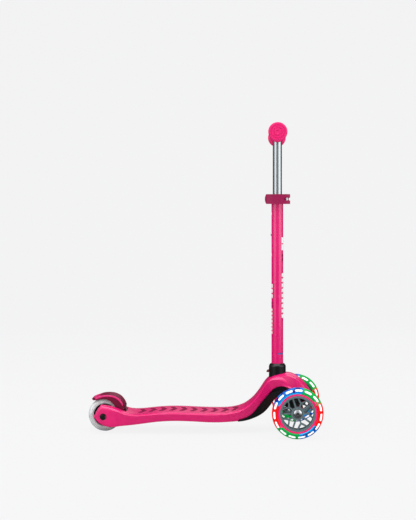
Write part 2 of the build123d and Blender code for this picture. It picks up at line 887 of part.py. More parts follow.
def wheel_spokes():
    """Five plain spokes and five forked ones between them, in the plane of the wheel."""
    for number in range(5):
        plain = radians(18 + 90 + 72 * number)
        forked = radians(-18 + 90 + 72 * number)
        spread = radians(fork_spread)
        with BuildLine() as arms:
            Line(
                (hub_r * cos(plain) * 0.95, hub_r * sin(plain) * 0.95),
                (spoke_outer_r * cos(plain), spoke_outer_r * sin(plain)),
            )
            fork = (fork_start_r * cos(forked), fork_start_r * sin(forked))
            Line((hub_r * cos(forked) * 0.95, hub_r * sin(forked) * 0.95), fork)
            for turn in (-spread, spread):
                middle_r = (fork_start_r + spoke_outer_r) / 2
                middle = forked + turn * 0.72
                ThreePointArc(
                    fork,
                    (middle_r * cos(middle), middle_r * sin(middle)),
                    (spoke_outer_r * cos(forked + turn), spoke_outer_r * sin(forked + turn)),
                )
        trace(arms.edges(), line_width=spoke_width)


for name, side in (("right", -1), ("left", 1)):
    centre = side * track_half
    spin_axis = Axis((front_axle_x, 0, front_wheel_r), (0, 1, 0))
    section = axle_plane(front_axle_x, front_wheel_r)

    with BuildPart() as tyre:
        with BuildSketch(section):
            with BuildLine():
                low = tyre_seat_r + fit
                edge = tyre_half_width - 1.5
                groove = low + light_ring_depth
                shoulder = front_wheel_r - tyre_half_width
                Polyline(
                    (centre - tyre_half_width, shoulder),
                    (centre - edge, low),
                    (centre - seat_half_width, low),
                    (centre - seat_half_width, groove),
                    (centre + seat_half_width, groove),
                    (centre + seat_half_width, low),
                    (centre + edge, low),
                    (centre + tyre_half_width, shoulder),
                )
                ThreePointArc(
                    (centre + tyre_half_width, shoulder),
                    (centre, front_wheel_r),
                    (centre - tyre_half_width, shoulder),
                )
            make_face()
        revolve(axis=spin_axis)
    keep(tyre, f"{name}_tyre")

    with BuildPart() as light_ring:
        with BuildSketch(section):
            with Locations((centre, tyre_seat_r + light_ring_depth / 2)):
                Rectangle(2 * seat_half_width - 2 * fit, light_ring_depth - 2 * fit)
        revolve(axis=spin_axis)
    keep(light_ring, f"{name}_light_ring")

    with BuildPart() as trim_ring:
        with BuildSketch(section):
            inner_face = centre + side * (seat_half_width + ring_gap)
            outer_face = centre + side * rim_half_width
            with BuildLine():
                Polyline(
                    (inner_face, rim_outer_r + ring_gap),
                    (outer_face, rim_outer_r + ring_gap),
                    (outer_face, tyre_seat_r - 0.5),
                    (outer_face - side * 0.8, tyre_seat_r),
                    (inner_face, tyre_seat_r),
                    close=True,
                )
            make_face()
        revolve(axis=spin_axis)
    keep(trim_ring, f"{name}_trim_ring")

    with BuildPart() as core:
        with BuildSketch(section):
            with BuildLine():
                Polyline(
                    (centre - rim_half_width, rim_inner_r),
                    (centre + rim_half_width, rim_inner_r),
                    (centre + rim_half_width, rim_outer_r),
                    (centre + seat_half_width, rim_outer_r),
                    (centre + seat_half_width, tyre_seat_r),
                    (centre - seat_half_width, tyre_seat_r),
                    (centre - seat_half_width, rim_outer_r),
                    (centre - rim_half_width, rim_outer_r),
                    close=True,
                )
            make_face()
        revolve(axis=spin_axis)
        with BuildSketch(Plane.XZ.offset(-side * hub_inner_y)):
            with Locations((front_axle_x, front_wheel_r)):
                Circle(hub_r)
        extrude(amount=-side * (hub_outer_y - hub_inner_y))
        spoke_plane = Plane(
            origin=(front_axle_x, centre + side * face_in, front_wheel_r),
            x_dir=(1, 0, 0),
            z_dir=(0, -1, 0),
        )
        with BuildSketch(spoke_plane):
            wheel_spokes()
        extrude(amount=-side * (face_out - face_in))
        with BuildSketch(Plane.XZ.offset(-side * hub_inner_y)):
            with Locations((front_axle_x, front_wheel_r)):
                Circle(coil_bore_r)
        extrude(amount=-side * (hub_outer_y - hub_inner_y), mode=Mode.SUBTRACT)
        for start in (hub_inner_y, outer_bearing_y):
            with BuildSketch(Plane.XZ.offset(-side * start)):
                with Locations((front_axle_x, front_wheel_r)):
                    Circle(bearing_r + fit)
            extrude(amount=-side * bearing_width, mode=Mode.SUBTRACT)
    keep(core, f"{name}_core")

    with BuildPart() as bearings:
        for start in (hub_inner_y, outer_bearing_y):
            with BuildSketch(Plane.XZ.offset(-side * start)):
                with Locations((front_axle_x, front_wheel_r)):
                    Circle(bearing_r)
                    Circle(race_outer_r + race_gap, mode=Mode.SUBTRACT)
            extrude(amount=-side * bearing_width)
    keep(bearings, f"{name}_bearings")
# ------------------------------------------------------------------ rear wheel
rear_section = axle_plane(rear_axle_x, rear_wheel_r)
rear_spin = Axis((rear_axle_x, 0, rear_wheel_r), (0, 1, 0))
rear_rim_gap = fit

with BuildPart() as rear_tyre:
    with BuildSketch(rear_section):
        half = rear_tyre_half_width
        with BuildLine():
            low = rear_core_r + rear_rim_gap
            Polyline(
                (-half, rear_wheel_r - 10),
                (-half + 1, low),
                (half - 1, low),
                (half, rear_wheel_r - 10),
            )
            ThreePointArc((half, rear_wheel_r - 10), (half - 3, rear_wheel_r - 3), (half - 10, rear_wheel_r))
            Line((half - 10, rear_wheel_r), (-half + 10, rear_wheel_r))
            ThreePointArc((-half + 10, rear_wheel_r), (-half + 3, rear_wheel_r - 3), (-half, rear_wheel_r - 10))
        make_face()
    revolve(axis=rear_spin)
keep(rear_tyre, "rear_tyre")

with BuildPart() as rear_core:
    with BuildSketch(rear_section):
        with BuildLine():
            half = rear_core_half_width
            Polyline(
                (-half, bearing_r + 3),
                (-half, bearing_r + fit),
                (-half + bearing_width, bearing_r + fit),
                (-half + bearing_width, race_outer_r + 2),
                (half - bearing_width, race_outer_r + 2),
                (half - bearing_width, bearing_r + fit),
                (half, bearing_r + fit),
                (half, bearing_r + 3),
                (4, bearing_r + 5),
                (4, rear_core_r - 4),
                (half, rear_core_r - 3),
                (half, rear_core_r),
                (-half, rear_core_r),
                (-half, rear_core_r - 3),
                (-4, rear_core_r - 4),
                (-4, bearing_r + 5),
                close=True,
            )
        make_face()
    revolve(axis=rear_spin)
keep(rear_core, "rear_core")

with BuildPart() as rear_bearings:
    for side in (-1, 1):
        start = rear_core_half_width - bearing_width
        with BuildSketch(Plane.XZ.offset(-side * start)):
            with Locations((rear_axle_x, rear_wheel_r)):
                Circle(bearing_r)
                Circle(race_outer_r + race_gap, mode=Mode.SUBTRACT)
        extrude(amount=-side * bearing_width)
keep(rear_bearings, "rear_bearings")

with BuildPart() as rear_spacer:
    with BuildSketch(Plane.XZ):
        with Locations((rear_axle_x, rear_wheel_r)):
            Circle(race_outer_r)
            Circle(axle_r + fit, mode=Mode.SUBTRACT)
    extrude(amount=arm_inner_y, both=True)
keep(rear_spacer, "rear_spacer")

head_seat = arm_outer_y - axle_head_depth
for name, side in (("rear_axle_bolt", -1), ("rear_axle_nut", 1)):
    with BuildPart() as fastener:
        with BuildSketch(Plane.XZ.offset(-side * head_seat)):
            with Locations((rear_axle_x, rear_wheel_r)):
                Circle(axle_head_r)
        extrude(amount=-side * 3.5)
        with BuildSketch(Plane.XZ.offset(-side * (head_seat + 3.5))):
            with Locations((rear_axle_x, rear_wheel_r)):
                RegularPolygon(3.4, 6)
        extrude(amount=side * 2.5, mode=Mode.SUBTRACT)
        if side == -1:
            with BuildSketch(Plane.XZ.offset(head_seat)):
                with Locations((rear_axle_x, rear_wheel_r)):
                    Circle(axle_r)
            extrude(amount=-2 * head_seat)
    keep(fastener, name)
# ------------------------------------------------------------------ brake
brake_top = [
    (-272.7, 80),
    (-262, 84),
    (-250, 88),
    (-236, 89.5),
    (-220, 87.5),
    (-208, 81.5),
    (-199.5, 72.5),
    (-194.5, 62),
]
brake_low = [(-214, 56), (-220, 66), (-230, 75), (-241, 78.5), (-256, 77.5), (-268, 76.5)]
brake_foot = [(-194.5, 62), (-195.4, 55), (-194.6, 46), (-204, 45), (-214, 56)]
tyre_clearance = 4.4

with BuildPart() as brake:
    with BuildSketch(Plane.XZ):
        with BuildLine():
            Spline(*brake_top)
            Polyline(*brake_foot)
            Spline(*brake_low)
            Line(brake_low[-1], brake_top[0])
        make_face()
    extrude(amount=brake_outer_y, both=True)
    # hollow between the side walls, round the tyre
    with BuildSketch(Plane.XZ):
        with Locations((rear_axle_x, rear_wheel_r)):
            Circle(rear_wheel_r + tyre_clearance)
        with Locations((brake_pin_x - 6, brake_pin_z)):
            Rectangle(24, 12)
    extrude(amount=brake_outer_y - brake_wall, both=True, mode=Mode.SUBTRACT)
    with BuildSketch(Plane.XZ):
        with Locations((brake_pin_x, brake_pin_z)):
            Circle(brake_pin_r + fit)
    extrude(amount=brake_outer_y + 1, both=True, mode=Mode.SUBTRACT)
keep(brake, "brake")

with BuildPart() as brake_pin:
    with BuildSketch(Plane.XZ):
        with Locations((brake_pin_x, brake_pin_z)):
            Circle(brake_pin_r)
    extrude(amount=arm_inner_y + 7, both=True)
keep(brake_pin, "brake_pin")

leaf_x = slot_end_x - 0.5
with BuildPart() as brake_spring:
    with BuildSketch(Plane.XZ):
        with BuildLine():
            Polyline((leaf_x, 34), (leaf_x, 44), (leaf_x - 2.6, 58), (leaf_x - 1.6, 64))
        trace(line_width=0.8)
    extrude(amount=9, both=True)
keep(brake_spring, "brake_spring")
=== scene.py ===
"""Child's three-wheeled kick scooter: finished surfaces, lamps, grips and stage around the CAD frame."""
import bpy
import bmesh
import json
from math import cos, pi, radians, sin, sqrt
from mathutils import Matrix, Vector


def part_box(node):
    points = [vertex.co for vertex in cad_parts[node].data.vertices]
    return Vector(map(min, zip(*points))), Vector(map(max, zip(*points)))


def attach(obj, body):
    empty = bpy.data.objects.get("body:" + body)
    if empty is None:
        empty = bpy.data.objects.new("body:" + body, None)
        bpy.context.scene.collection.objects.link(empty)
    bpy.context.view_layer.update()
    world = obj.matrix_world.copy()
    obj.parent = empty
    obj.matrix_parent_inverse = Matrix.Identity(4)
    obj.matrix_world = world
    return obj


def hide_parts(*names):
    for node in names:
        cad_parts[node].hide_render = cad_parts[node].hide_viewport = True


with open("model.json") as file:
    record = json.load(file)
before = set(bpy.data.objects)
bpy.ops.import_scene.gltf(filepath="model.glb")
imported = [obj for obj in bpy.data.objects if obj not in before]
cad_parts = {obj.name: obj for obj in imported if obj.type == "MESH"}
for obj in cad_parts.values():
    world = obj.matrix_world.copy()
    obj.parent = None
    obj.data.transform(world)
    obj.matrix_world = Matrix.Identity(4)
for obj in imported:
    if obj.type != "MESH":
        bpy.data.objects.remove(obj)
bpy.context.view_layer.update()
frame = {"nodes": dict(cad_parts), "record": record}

MM = 0.001

# ---------------------------------------------------------------- sizes taken from the frame


def node_box(name):
    low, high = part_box(name)
    return Vector(low), Vector(high)


def node_centre(name):
    low, high = node_box(name)
    return (low + high) / 2


front_hub = {side: node_centre(f"{side}_tyre") for side in ("right", "left")}
front_r = (node_box("right_tyre")[1].z - node_box("right_tyre")[0].z) / 2
rear_hub = node_centre("rear_tyre")
rear_r = (node_box("rear_tyre")[1].z - node_box("rear_tyre")[0].z) / 2
column_centre = node_centre("lower_tube")
tube_r = (node_box("lower_tube")[1].y - node_box("lower_tube")[0].y) / 2
outward = {"right": -1.0, "left": 1.0}


# ---------------------------------------------------------------- camera, light and floor
def add_camera():
    """A long lens square to the scooter's side, level with the column and sliding down and back."""
    data = bpy.data.cameras.new("studio_camera")
    data.lens = 82.94
    data.sensor_fit = "VERTICAL"
    data.sensor_height = 36.0
    data.shift_x = -0.1106
    data.shift_y = -0.0971
    data.clip_end = 60.0
    camera = bpy.data.objects.new("studio_camera", data)
    camera.location = (0.1465, -2.915, 0.5366)
    camera.rotation_euler = (radians(90), 0, 0)
    bpy.context.collection.objects.link(camera)
    bpy.context.scene.camera = camera


def add_softbox(name, place, aim, size, glow, tint=(1.0, 1.0, 1.0)):
    """A rectangular softbox whose face has the given brightness (1 is white)."""
    data = bpy.data.lights.new(name, "AREA")
    data.shape = "RECTANGLE"
    data.size, data.size_y = size
    data.energy = glow * pi * size[0] * size[1]
    data.color = tint
    light = bpy.data.objects.new(name, data)
    light.location = place
    light.rotation_euler = (Vector(aim) - Vector(place)).to_track_quat("-Z", "Y").to_euler()
    bpy.context.collection.objects.link(light)


def add_stage():
    """White studio: a pale floor that curves up behind, one overhead box and a tall box each side."""
    world = bpy.data.worlds.new("studio")
    bpy.context.scene.world = world
    world.use_nodes = True
    world.node_tree.nodes["Background"].inputs["Color"].default_value = (0.95, 0.97, 1.0, 1)
    world.node_tree.nodes["Background"].inputs["Strength"].default_value = 0.45
    add_softbox("top_box", (0.0, -0.35, 2.3), (0, 0, 0.2), (2.6, 1.9), 3.3)
    add_softbox("left_box", (-1.75, -1.52, 0.95), (0.15, 0, 0.4), (2.1, 2.6), 1.35)
    add_softbox("right_box", (2.15, -1.2, 0.95), (0.15, 0, 0.4), (2.6, 2.6), 1.55)
    add_softbox("rear_box", (0.4, 2.3, 1.5), (0.1, 0, 0.3), (1.8, 1.2), 1.2)

    steps = 24
    reach, back, sweep = 9.0, 4.0, 1.5
    profile = [(-reach, 0.0), (back - sweep, 0.0)]
    for step in range(1, steps + 1):
        turn = radians(90) * step / steps
        profile.append((back - sweep + sweep * sin(turn), sweep - sweep * cos(turn)))
    profile.append((back, reach))
    mesh = bpy.data.meshes.new("floor")
    verts = [(x, y, z) for y, z in profile for x in (-reach, reach)]
    faces = [(2 * i, 2 * i + 1, 2 * i + 3, 2 * i + 2) for i in range(len(profile) - 1)]
    mesh.from_pydata(verts, [], faces)
    floor = bpy.data.objects.new("floor", mesh)
    bpy.context.collection.objects.link(floor)
    floor.data.polygons.foreach_set("use_smooth", [True] * len(mesh.polygons))
    floor.data.materials.append(floor_paint())


def floor_paint():
    """Pale, even floor with a trace of contact shadow, which stays dark in the gloss of the parts."""
    paint = bpy.data.materials.new("floor_paint")
    paint.use_nodes = True
    tree = paint.node_tree
    tree.nodes.clear()
    shaders = {}
    tones = (
        ("seen", "ShaderNodeBsdfDiffuse", 0.86),
        ("bounce", "ShaderNodeBsdfDiffuse", 0.62),
        ("gloss", "ShaderNodeBsdfDiffuse", 0.06),
        ("even", "ShaderNodeEmission", 0.913),
    )
    for label, kind, tone in tones:
        shaders[label] = tree.nodes.new(kind)
        shaders[label].inputs["Color"].default_value = (tone, tone, tone * 1.008, 1)
    path = tree.nodes.new("ShaderNodeLightPath")
    output = tree.nodes.new("ShaderNodeOutputMaterial")

    def mix(amount, first, second):
        share = tree.nodes.new("ShaderNodeMixShader")
        if isinstance(amount, float):
            share.inputs["Fac"].default_value = amount
        else:
            tree.links.new(amount, share.inputs["Fac"])
        tree.links.new(first.outputs[0], share.inputs[1])
        tree.links.new(second.outputs[0], share.inputs[2])
        return share

    camera_side = mix(0.95, shaders["seen"], shaders["even"])
    lit_side = mix(path.outputs["Is Glossy Ray"], shaders["bounce"], shaders["gloss"])
    whole = mix(path.outputs["Is Camera Ray"], lit_side, camera_side)
    tree.links.new(whole.outputs[0], output.inputs["Surface"])
    return paint


# ---------------------------------------------------------------- shared shader effects
def new_group(name, inputs, outputs):
    """An empty shader group with named sockets: inputs {name: (type, default)}, outputs {name: type}."""
    group = bpy.data.node_groups.new(name, "ShaderNodeTree")
    for label, (kind, default) in inputs.items():
        socket = group.interface.new_socket(label, in_out="INPUT", socket_type=kind)
        socket.default_value = default
    for label, kind in outputs.items():
        group.interface.new_socket(label, in_out="OUTPUT", socket_type=kind)
    entry = group.nodes.new("NodeGroupInput")
    leave = group.nodes.new("NodeGroupOutput")
    return group, entry.outputs, leave.inputs


def node(tree, kind, links=(), **settings):
    """Adds a node and sets its properties and inputs; links is [(input, value or socket)]."""
    made = tree.nodes.new(kind)
    for label, value in settings.items():
        setattr(made, label, value)
    for label, value in links:
        if isinstance(value, bpy.types.NodeSocket):
            tree.links.new(value, made.inputs[label])
        else:
            made.inputs[label].default_value = value
    return made


def maths(tree, operation, *values):
    """Adds a maths node whose inputs, in order, are the given values or sockets."""
    return node(tree, "ShaderNodeMath", list(enumerate(values)), operation=operation)


COLOR, VALUE, NORMAL = "NodeSocketColor", "NodeSocketFloat", "NodeSocketVector"


def make_moulded_group():
    """Moulded plastic: faint mottling, fine spark-eroded grain and small roughness changes."""
    group, entry, leave = new_group(
        "moulded_finish",
        {
            "Color": (COLOR, (1, 1, 1, 1)),
            "Mottle": (VALUE, 0.06),
            "Grain Scale": (VALUE, 1400.0),
            "Grain Depth": (VALUE, 0.15),
            "Base Rough": (VALUE, 0.4),
            "Rough Vary": (VALUE, 0.12),
        },
        {"Color": COLOR, "Roughness": VALUE, "Normal": NORMAL},
    )
    place = node(group, "ShaderNodeTexCoord").outputs["Object"]
    cloud = node(group, "ShaderNodeTexNoise", [("Vector", place), ("Scale", 22.0), ("Detail", 3.0)])
    value = node(group, "ShaderNodeMapRange", [
        ("Value", cloud.outputs["Fac"]), ("From Min", 0.3), ("From Max", 0.7),
        ("To Min", -0.5), ("To Max", 0.5)])
    scaled = maths(group, "MULTIPLY", value.outputs["Result"], entry["Mottle"])
    lifted = maths(group, "ADD", scaled.outputs[0], 1.0)
    tint = node(group, "ShaderNodeHueSaturation", [("Color", entry["Color"]), ("Value", lifted.outputs[0])])
    group.links.new(tint.outputs["Color"], leave["Color"])
    patch = node(group, "ShaderNodeTexNoise", [("Vector", place), ("Scale", 90.0), ("Detail", 4.0)])
    swing = maths(group, "SUBTRACT", patch.outputs["Fac"], 0.5)
    rough = maths(group, "MULTIPLY_ADD", swing.outputs[0], entry["Rough Vary"], entry["Base Rough"])
    group.links.new(rough.outputs[0], leave["Roughness"])
    grain = node(group, "ShaderNodeTexNoise", [
        ("Vector", place), ("Scale", entry["Grain Scale"]), ("Detail", 2.0)])
    bump = node(group, "ShaderNodeBump", [
        ("Height", grain.outputs["Fac"]), ("Strength", entry["Grain Depth"]), ("Distance", 0.0002)])
    group.links.new(bump.outputs["Normal"], leave["Normal"])
    return group


def make_drawn_group():
    """Drawn or turned metal: fine streaks along one direction with soft, slow changes of polish."""
    group, entry, leave = new_group(
        "drawn_finish",
        {
            "Color": (COLOR, (1, 1, 1, 1)),
            "Stretch": (NORMAL, (900.0, 900.0, 8.0)),
            "Streak Depth": (VALUE, 0.12),
            "Base Rough": (VALUE, 0.3),
            "Rough Vary": (VALUE, 0.15),
            "Shade": (VALUE, 0.08),
        },
        {"Color": COLOR, "Roughness": VALUE, "Normal": NORMAL},
    )
    place = node(group, "ShaderNodeTexCoord").outputs["Object"]
    along = node(group, "ShaderNodeVectorMath", [(0, place), (1, entry["Stretch"])], operation="MULTIPLY")
    streak = node(group, "ShaderNodeTexNoise", [
        ("Vector", along.outputs[0]), ("Scale", 1.0), ("Detail", 3.0)])
    swing = maths(group, "SUBTRACT", streak.outputs["Fac"], 0.5)
    rough = maths(group, "MULTIPLY_ADD", swing.outputs[0], entry["Rough Vary"], entry["Base Rough"])
    group.links.new(rough.outputs[0], leave["Roughness"])
    shade = maths(group, "MULTIPLY_ADD", swing.outputs[0], entry["Shade"], 1.0)
    tint = node(group, "ShaderNodeHueSaturation", [("Color", entry["Color"]), ("Value", shade.outputs[0])])
    group.links.new(tint.outputs["Color"], leave["Color"])
    bump = node(group, "ShaderNodeBump", [
        ("Height", streak.outputs["Fac"]), ("Strength", entry["Streak Depth"]), ("Distance", 0.0001)])
    group.links.new(bump.outputs["Normal"], leave["Normal"])
    return group


def make_lamp_group():
    """Coloured light in a tyre: bands of lamp colour by angle round the hub, brighter near the rim."""
    group, entry, leave = new_group(
        "lamp_bands",
        {"Hub": (NORMAL, (0, 0, 0)), "Turn": (VALUE, 0.0), "Flip": (VALUE, 1.0)},
        {"Color": COLOR, "Glow": COLOR},
    )
    place = node(group, "ShaderNodeTexCoord").outputs["Object"]
    arm = node(group, "ShaderNodeVectorMath", [(0, place), (1, entry["Hub"])], operation="SUBTRACT")
    axes = node(group, "ShaderNodeSeparateXYZ", [("Vector", arm.outputs[0])])
    across = maths(group, "MULTIPLY", axes.outputs["X"], entry["Flip"])
    angle = maths(group, "ARCTAN2", across.outputs[0], axes.outputs["Z"])
    part = maths(group, "MULTIPLY_ADD", angle.outputs[0], 1 / (2 * pi), entry["Turn"])
    wobble = node(group, "ShaderNodeTexNoise", [("Vector", place), ("Scale", 60.0), ("Detail", 1.0)])
    shift = maths(group, "MULTIPLY_ADD", wobble.outputs["Fac"], LAMP_WOBBLE, part.outputs[0])
    start = maths(group, "SUBTRACT", shift.outputs[0], LAMP_START / 360 + LAMP_WOBBLE / 2)
    wrapped = maths(group, "FRACT", start.outputs[0])
    bands = node(group, "ShaderNodeValToRGB", [("Fac", wrapped.outputs[0])])
    ramp = bands.color_ramp
    ramp.interpolation = "LINEAR"
    for spot, colour in lamp_stops():
        stop = ramp.elements.new(spot)
        stop.color = (*colour, 1)
    ramp.elements.remove(ramp.elements[0])
    ramp.elements.remove(ramp.elements[-1])
    reach = node(group, "ShaderNodeVectorMath", [(0, arm.outputs[0])], operation="LENGTH")
    inner = node(group, "ShaderNodeMapRange", [
        ("Value", reach.outputs["Value"]), ("From Min", 0.0490), ("From Max", 0.0520),
        ("To Min", 1.0), ("To Max", 0.0)])
    parts = node(group, "ShaderNodeSeparateColor", [("Color", bands.outputs["Color"])])
    is_blue = node(group, "ShaderNodeMapRange", [
        ("Value", parts.outputs["Blue"]), ("From Min", 0.15), ("From Max", 0.35)])
    near_hub = maths(group, "MULTIPLY", is_blue.outputs["Result"], inner.outputs["Result"])
    cloud = node(group, "ShaderNodeTexNoise", [("Vector", place), ("Scale", 95.0), ("Detail", 0.0)])
    patch = node(group, "ShaderNodeMapRange", [
        ("Value", cloud.outputs["Fac"]), ("From Min", 0.50), ("From Max", 0.58)])
    deep = maths(group, "MULTIPLY", is_blue.outputs["Result"], patch.outputs["Result"])
    darker = node(group, "ShaderNodeMix", data_type="RGBA")
    group.links.new(deep.outputs[0], darker.inputs[0])
    group.links.new(bands.outputs["Color"], darker.inputs[6])
    darker.inputs[7].default_value = (*LAMP_DEEP, 1)
    mixed = node(group, "ShaderNodeMix", data_type="RGBA")
    group.links.new(near_hub.outputs[0], mixed.inputs[0])
    group.links.new(darker.outputs[2], mixed.inputs[6])
    mixed.inputs[7].default_value = (*LAMP_CYAN, 1)
    group.links.new(mixed.outputs[2], leave["Color"])
    group.links.new(mixed.outputs[2], leave["Glow"])
    return group


LAMP_GREEN = (0.0, 0.29, 0.05)
LAMP_RED = (0.64, 0.004, 0.004)
LAMP_BLUE = (0.0, 0.115, 0.44)
LAMP_DEEP = (0.009, 0.009, 0.17)
LAMP_CYAN = (0.0, 0.34, 0.70)
LAMP_START = 12        # degrees clockwise from the top where the first band begins
LAMP_WOBBLE = 0.02     # share of a turn by which the bands' edges wander


def lamp_stops():
    """Where each lamp's colour begins and ends, as shares of a turn clockwise from the top."""
    bands = [(LAMP_START, 65, LAMP_GREEN), (65, 124, LAMP_RED), (124, 176, LAMP_BLUE)]
    bands += [(176, 235, LAMP_GREEN), (235, 292, LAMP_RED), (292, 372, LAMP_BLUE)]
    blur = 2.0
    for start, end, colour in bands:
        yield (start - LAMP_START + blur) / 360, colour
        yield (end - LAMP_START - blur) / 360, colour


groups = {
    "moulded": make_moulded_group(),
    "drawn": make_drawn_group(),
    "lamps": make_lamp_group(),
}


# ---------------------------------------------------------------- materials
def base_material(name, **settings):
    """A Principled material; settings are plain socket values."""
    paint = bpy.data.materials.new(name)
    paint.use_nodes = True
    shader = paint.node_tree.nodes["Principled BSDF"]
    for label, value in settings.items():
        shader.inputs[label.replace("_", " ")].default_value = value
    return paint, paint.node_tree, shader


def moulded(name, colour, rough=0.4, grain=0.15, mottle=0.05, scale=1400.0, **settings):
    paint, tree, shader = base_material(name, **settings)
    finish = tree.nodes.new("ShaderNodeGroup")
    finish.node_tree = groups["moulded"]
    finish.inputs["Color"].default_value = (*colour, 1)
    finish.inputs["Mottle"].default_value = mottle
    finish.inputs["Grain Scale"].default_value = scale
    finish.inputs["Grain Depth"].default_value = grain
    finish.inputs["Base Rough"].default_value = rough
    tree.links.new(finish.outputs["Color"], shader.inputs["Base Color"])
    tree.links.new(finish.outputs["Roughness"], shader.inputs["Roughness"])
    tree.links.new(finish.outputs["Normal"], shader.inputs["Normal"])
    return paint


def drawn(name, colour, stretch, rough=0.28, depth=0.12, shade=0.08, **settings):
    paint, tree, shader = base_material(name, **settings)
    finish = tree.nodes.new("ShaderNodeGroup")
    finish.node_tree = groups["drawn"]
    finish.inputs["Color"].default_value = (*colour, 1)
    finish.inputs["Stretch"].default_value = stretch
    finish.inputs["Streak Depth"].default_value = depth
    finish.inputs["Base Rough"].default_value = rough
    finish.inputs["Shade"].default_value = shade
    tree.links.new(finish.outputs["Color"], shader.inputs["Base Color"])
    tree.links.new(finish.outputs["Roughness"], shader.inputs["Roughness"])
    tree.links.new(finish.outputs["Normal"], shader.inputs["Normal"])
    return paint


def lit_tyre_material(side):
    paint, tree, shader = base_material(
        f"{side}_lit_tyre",
        Roughness=0.3,
        Specular_IOR_Level=0.2,
        Coat_Weight=0.06,
        Coat_Roughness=0.1,
        Emission_Strength=0.38,
    )
    bands = tree.nodes.new("ShaderNodeGroup")
    bands.node_tree = groups["lamps"]
    bands.inputs["Hub"].default_value = front_hub[side]
    tree.links.new(bands.outputs["Color"], shader.inputs["Base Color"])
    tree.links.new(bands.outputs["Glow"], shader.inputs["Emission Color"])
    return paint


def make_materials():
    """Every finish on the scooter, by name."""
    return {
        "pink_shell": moulded("pink_shell", (0.76, 0.0, 0.15), 0.36, 0.10, Coat_Weight=0.35,
                              Coat_Roughness=0.22),
        "pink_paint": moulded("pink_paint", (0.74, 0.0, 0.15), 0.26, 0.03, 0.02, 2600.0,
                              Coat_Weight=0.6, Coat_Roughness=0.10),
        "raspberry_plastic": moulded("raspberry_plastic", (0.30, 0.004, 0.065), 0.45, 0.12,
                                     Specular_IOR_Level=0.3),
        "raspberry_inlay": moulded("raspberry_inlay", (0.20, 0.002, 0.045), 0.6, 0.25,
                                   Specular_IOR_Level=0.1),
        # lighter copy of the brake's raspberry: painted light on the rim over the brake's top
        "raspberry_painted_light": moulded("raspberry_painted_light", (0.72, 0.02, 0.18), 0.38, 0.12),
        # darker copy of the brake's raspberry: painted shade for the brake's side walls under the
        # overhanging rim
        "raspberry_painted_shade": moulded("raspberry_painted_shade", (0.15, 0.001, 0.030), 0.5, 0.15,
                                   Specular_IOR_Level=0.25),
        "pink_rubber": moulded("pink_rubber", (0.78, 0.002, 0.15), 0.5, 0.22, scale=900.0),
        "pink_trim": moulded("pink_trim", (0.95, 0.006, 0.17), 0.3, 0.04, Coat_Weight=0.3),
        "black_plastic": moulded("black_plastic", (0.0035, 0.0042, 0.0048), 0.3, 0.12,
                                 Specular_IOR_Level=0.4),
        "black_rubber": moulded("black_rubber", (0.005, 0.005, 0.006), 0.65, 0.3, scale=800.0,
                                Specular_IOR_Level=0.3),
        "black_steel": moulded("black_steel", (0.004, 0.005, 0.005), 0.3, 0.05, Metallic=0.4),
        "zinc_steel": drawn("zinc_steel", (0.60, 0.62, 0.64), (300, 300, 300), 0.28, 0.04, 0.03,
                            Metallic=1.0),
        "bare_aluminium": drawn("bare_aluminium", (0.435, 0.468, 0.485), (500, 500, 4), 0.2, 0.02, 0.03,
                                Metallic=1.0),
        "grey_plastic": moulded("grey_plastic", (0.115, 0.165, 0.178), 0.4, 0.12,
                                Specular_IOR_Level=0.35),
        "red_plastic": moulded("red_plastic", (0.14, 0.002, 0.004), 0.3, 0.05, Coat_Weight=0.3),
        "clear_tyre": moulded("clear_tyre", (0.66, 0.70, 0.69), 0.26, 0.05, mottle=0.35,
                              Coat_Weight=0.5, Coat_Roughness=0.1),
        "lamp_board": moulded("lamp_board", (0.7, 0.72, 0.7), 0.4),
        "window_white": moulded("window_white", (0.95, 0.95, 0.95), 0.3, 0.02, mottle=0.02,
                                Emission_Color=(1, 1, 1, 1), Emission_Strength=0.4),
        "mark_white": moulded("mark_white", (0.86, 0.86, 0.86), 0.35, 0.03, mottle=0.03),
        "mark_blue": moulded("mark_blue", (0.0, 0.10, 0.36), 0.35, 0.03),
        # near black for socket floors and tyre pockets: painted shade standing in for the hollows
        "painted_pocket_shade": moulded("painted_pocket_shade", (0.012, 0.014, 0.015), 0.5, 0.05),
        "right_lit_tyre": lit_tyre_material("right"),
        "left_lit_tyre": lit_tyre_material("left"),
    }


materials = make_materials()


# ---------------------------------------------------------------- mesh helpers
def new_piece(name, verts, faces, material, body, smooth_deg=40.0):
    """A mesh piece in the row frame (metres) that rides on a body."""
    mesh = bpy.data.meshes.new(name)
    mesh.from_pydata([tuple(v) for v in verts], [], faces)
    work = bmesh.new()
    work.from_mesh(mesh)
    bmesh.ops.remove_doubles(work, verts=work.verts, dist=1e-6)
    bmesh.ops.dissolve_degenerate(work, edges=work.edges, dist=1e-7)
    bmesh.ops.recalc_face_normals(work, faces=work.faces)
    work.to_mesh(mesh)
    work.free()
    mesh.polygons.foreach_set("use_smooth", [True] * len(mesh.polygons))
    mesh.set_sharp_from_angle(angle=radians(smooth_deg))
    piece = bpy.data.objects.new(name, mesh)
    bpy.context.collection.objects.link(piece)
    mesh.materials.append(materials[material])
    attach(piece, body)
    return piece


def skin_loops(loops, close_loop=True, cap_start=False, cap_end=False, close_run=False):
    """Faces over a run of equally long point loops."""
    count = len(loops[0])
    verts = [p for loop in loops for p in loop]
    faces = []
    runs = len(loops) if close_run else len(loops) - 1
    for row in range(runs):
        a, b = row * count, ((row + 1) % len(loops)) * count
        for i in range(count if close_loop else count - 1):
            j = (i + 1) % count
            faces.append((a + i, a + j, b + j, b + i))
    if cap_start:
        faces.append(tuple(range(count)))
    if cap_end:
        faces.append(tuple(reversed(range((len(loops) - 1) * count, len(loops) * count))))
    return verts, faces


